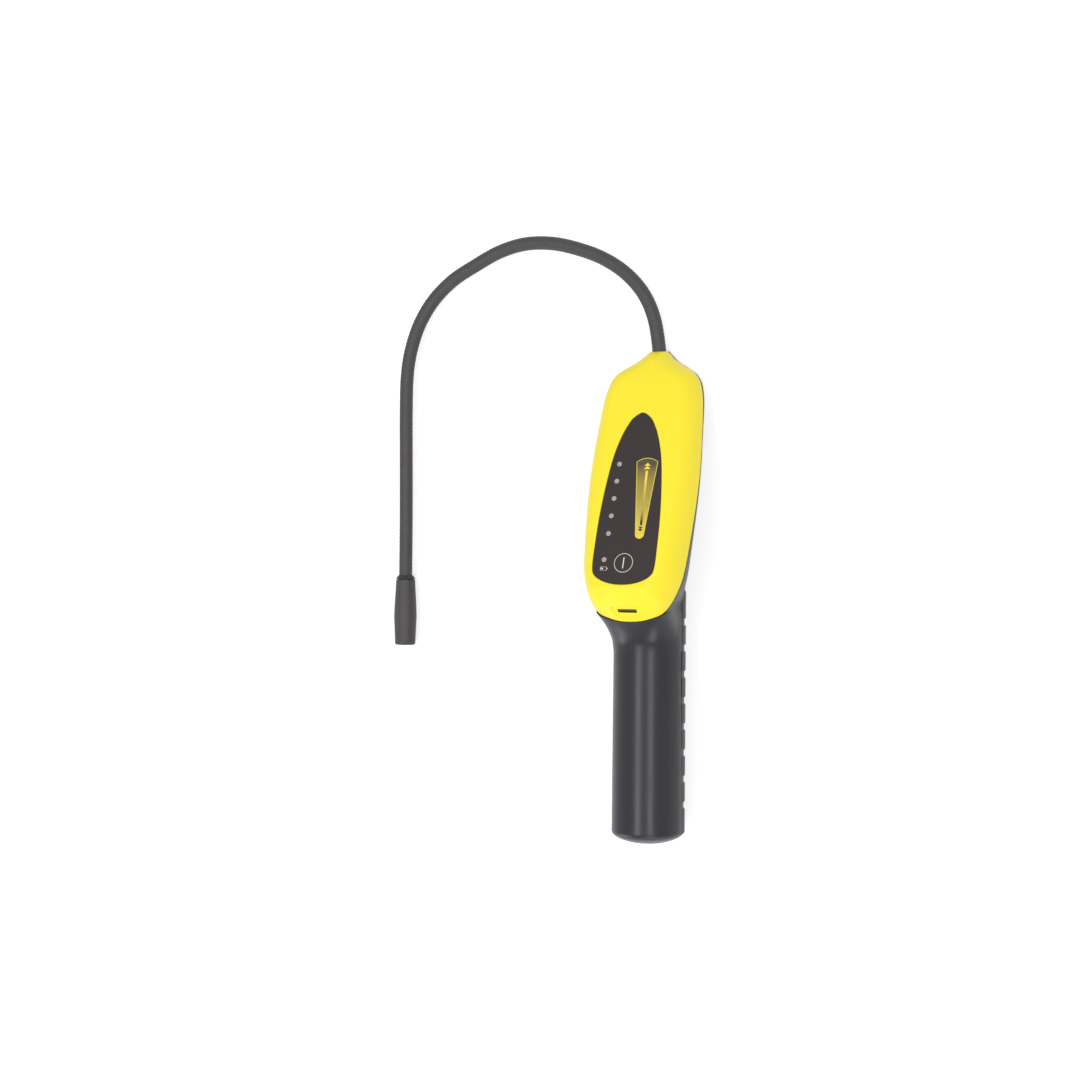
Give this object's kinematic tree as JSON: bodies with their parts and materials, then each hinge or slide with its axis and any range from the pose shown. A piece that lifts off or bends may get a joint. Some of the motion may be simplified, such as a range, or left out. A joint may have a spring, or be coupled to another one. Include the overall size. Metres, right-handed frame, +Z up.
{
  "type": "refrigerant leak detector",
  "caption": "Handheld leak detector with a moulded housing, front cover, indicator panel, battery door and a bendable gooseneck probe ending in a capped sensor.",
  "frame": {"origin": "middle of the battery door's middle pad, on the surface that the instrument lies on", "axes": "+X right seen from the front, +Y along the grip towards the head and the gooseneck's exit, +Z up out of the front panel"},
  "size_m": [0.2084, 0.3613, 0.0659],
  "materials": {
    "housing_plastic": "fine moulded grain, satin",
    "cover_plastic": "moulded yellow plastic, satin",
    "overlay_film": "printed film, soft sheen",
    "door_plastic": "fine moulded grain, satin",
    "cell_jacket": "shrink sleeve, gloss",
    "spring_steel": "plated steel",
    "board_green": "solder mask",
    "chip_black": "moulded epoxy",
    "lens_grey": "diffusing lens",
    "hose_black": "ribbed sleeve, satin",
    "cap_rubber": "moulded, matt",
    "filter_felt": "pressed felt",
    "plated_brass": "crimped, satin"
  },
  "bodies": {
    "housing": {"main_housing": "housing_plastic", "front_cover": "cover_plastic", "front_overlay": "overlay_film", "battery_upper": "cell_jacket", "battery_lower": "cell_jacket", "positive_contact": "spring_steel", "negative_spring": "spring_steel", "circuit_board": "board_green", "main_chip": "chip_black", "sounder": "chip_black", "supply_capacitor": "cell_jacket", "supply_coil": "chip_black", "probe_header": "lens_grey", "power_switch": "chip_black", "battery_led": "lens_grey", "cover_screw_left": "spring_steel", "cover_screw_right": "spring_steel", "board_screw_low_left": "spring_steel", "board_screw_low_right": "spring_steel", "board_screw_high_left": "spring_steel", "board_screw_high_right": "spring_steel", "gooseneck_ferrule": "plated_brass", "gas_led_1": "lens_grey", "gas_led_2": "lens_grey", "gas_led_3": "lens_grey", "gas_led_4": "lens_grey", "gas_led_5": "lens_grey"},
    "battery_door": {"battery_door": "door_plastic"},
    "power_button": {"power_button": "door_plastic"},
    "gooseneck": {"gooseneck_sleeve": "hose_black", "gooseneck_core": "spring_steel"},
    "probe_tip": {"sensor_socket": "housing_plastic", "gas_sensor": "spring_steel"},
    "tip_cap": {"tip_cap": "cap_rubber", "inlet_filter": "filter_felt"}
  },
  "joints": [
    {"name": "battery_door_swing", "type": "hinge", "parent": "housing", "child": "battery_door", "pos_m": [0, -0.0704, 0], "axis": [-1, 0, 0], "range_deg": [0, 50]},
    {"name": "power_button_press", "type": "slide", "parent": "housing", "child": "power_button", "axis": [0, -0.3132, -0.9497], "range_m": [0, 0.0006], "stiffness_N_per_m": 900},
    {"name": "gooseneck_root_bend", "type": "hinge", "parent": "housing", "child": "gooseneck", "pos_m": [-0.0033, 0.2325, 0.007], "axis": [0, 0, 1], "range_deg": [-40, 15], "deforming": ["gooseneck_sleeve", "gooseneck_core"]},
    {"name": "gooseneck_mid_bend", "type": "hinge", "parent": "gooseneck", "child": "probe_tip", "pos_m": [-0.1588, 0.235, 0.007], "axis": [0, 0, 1], "range_deg": [-60, 10], "deforming": ["gooseneck_sleeve", "gooseneck_core"]},
    {"name": "tip_cap_pull", "type": "slide", "parent": "probe_tip", "child": "tip_cap", "axis": [-0.0027, -1, 0], "range_m": [0, 0.045]}
  ]
}
